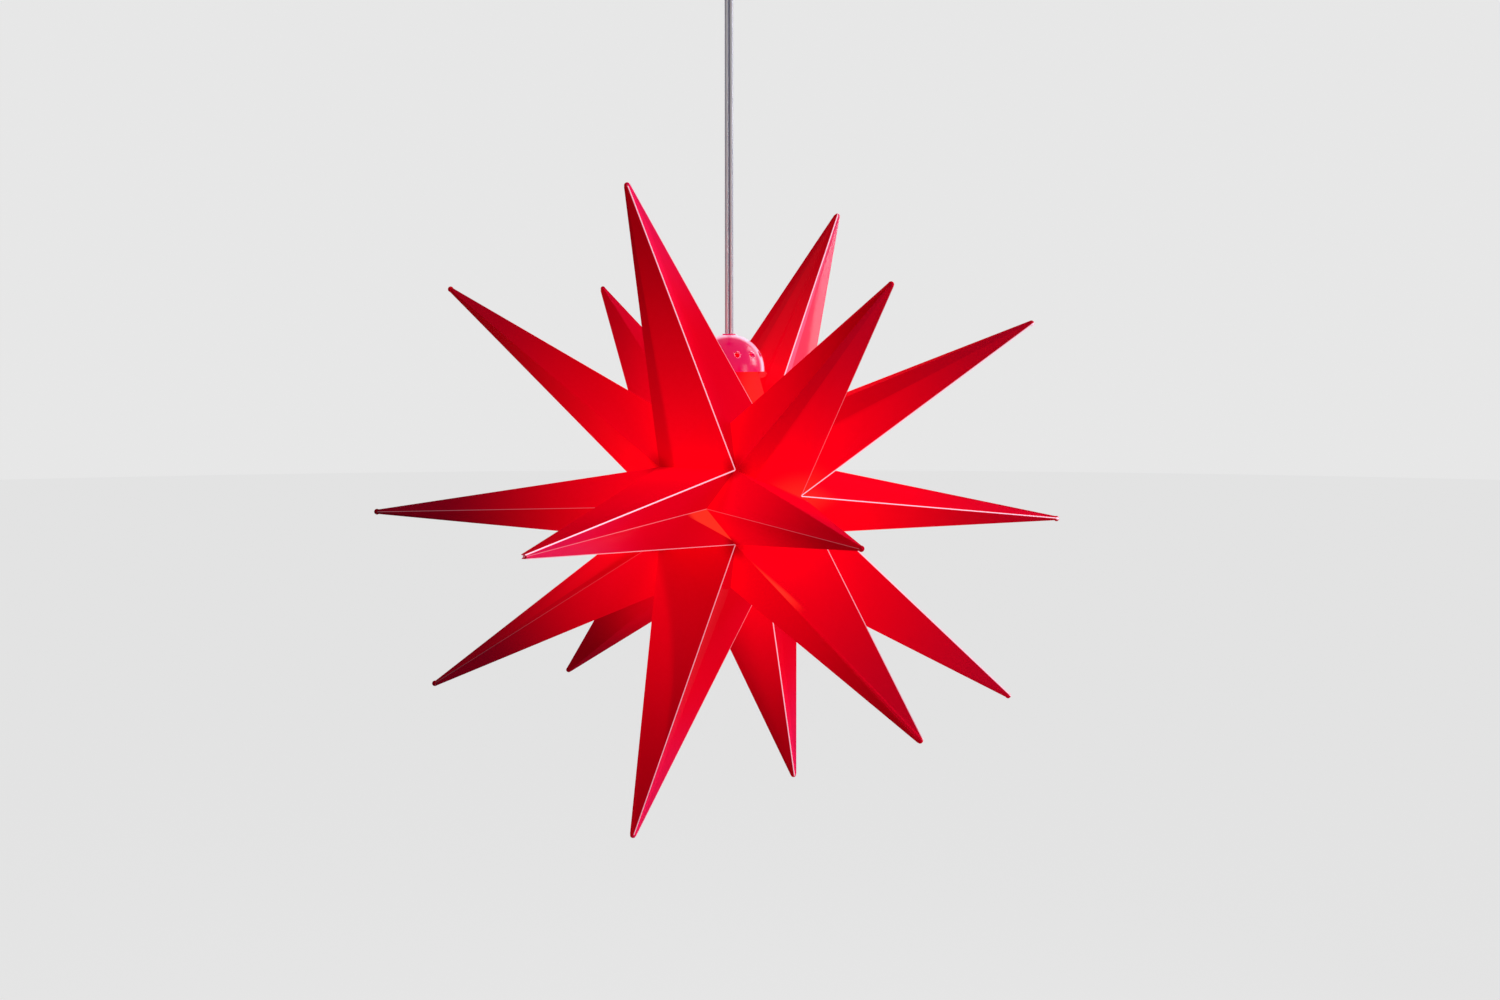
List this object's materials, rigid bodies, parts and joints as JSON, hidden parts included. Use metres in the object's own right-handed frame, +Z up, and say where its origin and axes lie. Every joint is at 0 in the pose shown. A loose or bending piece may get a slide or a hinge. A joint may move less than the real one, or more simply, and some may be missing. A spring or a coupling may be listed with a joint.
{
  "type": "hanging lit star",
  "caption": "Many-pointed folded red star with a clear cap and an inside lamp, hung by a clear cord from a round ceiling cup; it swings, and the star twists off.",
  "frame": {"origin": "on the ceiling, at the middle of the bracket's two screw holes, above the cord", "axes": "+Z up along the cord; X along the star's core axis and the bracket's strap; the front of the star faces -Y"},
  "size_m": [0.3049, 0.3962, 0.5475],
  "materials": {
    "star_sheet": "thin translucent glossy red sheet, lit from inside",
    "rivet_plastic": "moulded red plastic",
    "clear_cap": "clear moulded plastic",
    "clear_flex": "clear flexible cable cover over bright wires",
    "white_plastic": "white moulded plastic",
    "zinc_steel": "bright zinc-plated steel",
    "contact_brass": "plain brass",
    "wire_cover": "soft wire cover",
    "lamp_column": "plain aluminium",
    "lamp_light": "warm light chips",
    "lamp_cover": "frosted clear plastic"
  },
  "bodies": {
    "ceiling": {"ceiling_bracket": "zinc_steel", "ceiling_hook": "zinc_steel", "ceiling_cup": "white_plastic", "cup_bush": "white_plastic", "cup_screws": "zinc_steel", "terminal_block": "white_plastic", "terminal_screws": "zinc_steel"},
    "hanger": {"hanger_ring": "zinc_steel"},
    "pendant": {"cord_anchor": "zinc_steel", "anchor_clamp": "zinc_steel", "anchor_screws": "zinc_steel", "cord": "clear_flex", "cap_dome": "clear_cap", "cord_grip": "clear_cap", "holder_plate": "white_plastic", "holder_screws": "zinc_steel", "socket_stem": "white_plastic", "stem_nut": "zinc_steel", "lead_wires": "wire_cover", "lamp_socket": "white_plastic", "socket_contacts": "contact_brass"},
    "star": {"point_belt_upper_front": "star_sheet", "point_belt_front": "star_sheet", "point_belt_lower_front": "star_sheet", "point_belt_lower_back": "star_sheet", "point_belt_back": "star_sheet", "point_belt_upper_back": "star_sheet", "point_right_upper_front": "star_sheet", "point_right_front": "star_sheet", "point_right_lower_front": "star_sheet", "point_right_lower_back": "star_sheet", "point_right_back": "star_sheet", "point_right_upper_back": "star_sheet", "point_left_upper_front": "star_sheet", "point_left_front": "star_sheet", "point_left_lower_front": "star_sheet", "point_left_lower_back": "star_sheet", "point_left_back": "star_sheet", "point_left_upper_back": "star_sheet", "seam_rivets": "rivet_plastic", "neck": "star_sheet", "neck_rivets": "rivet_plastic"},
    "lamp": {"lamp_base": "white_plastic", "lamp_pins": "contact_brass", "led_column": "lamp_column", "led_chips": "lamp_light", "lamp_diffuser": "lamp_cover"}
  },
  "joints": [
    {"name": "swing_front", "type": "hinge", "parent": "ceiling", "child": "hanger", "pos_m": [0, 0, -0.021], "axis": [1, 0, 0], "range_deg": [-10, 10]},
    {"name": "swing_side", "type": "hinge", "parent": "hanger", "child": "pendant", "pos_m": [0, 0, -0.0337], "axis": [0, 1, 0], "range_deg": [-10, 10]},
    {"name": "star_twist", "type": "hinge", "parent": "pendant", "child": "star", "pos_m": [0, 0, -0.29], "axis": [0, 0, 1], "range_deg": [0, 60]},
    {"name": "lamp_pull", "type": "slide", "parent": "pendant", "child": "lamp", "axis": [0, 0, -1], "range_m": [0, 0.014]}
  ]
}
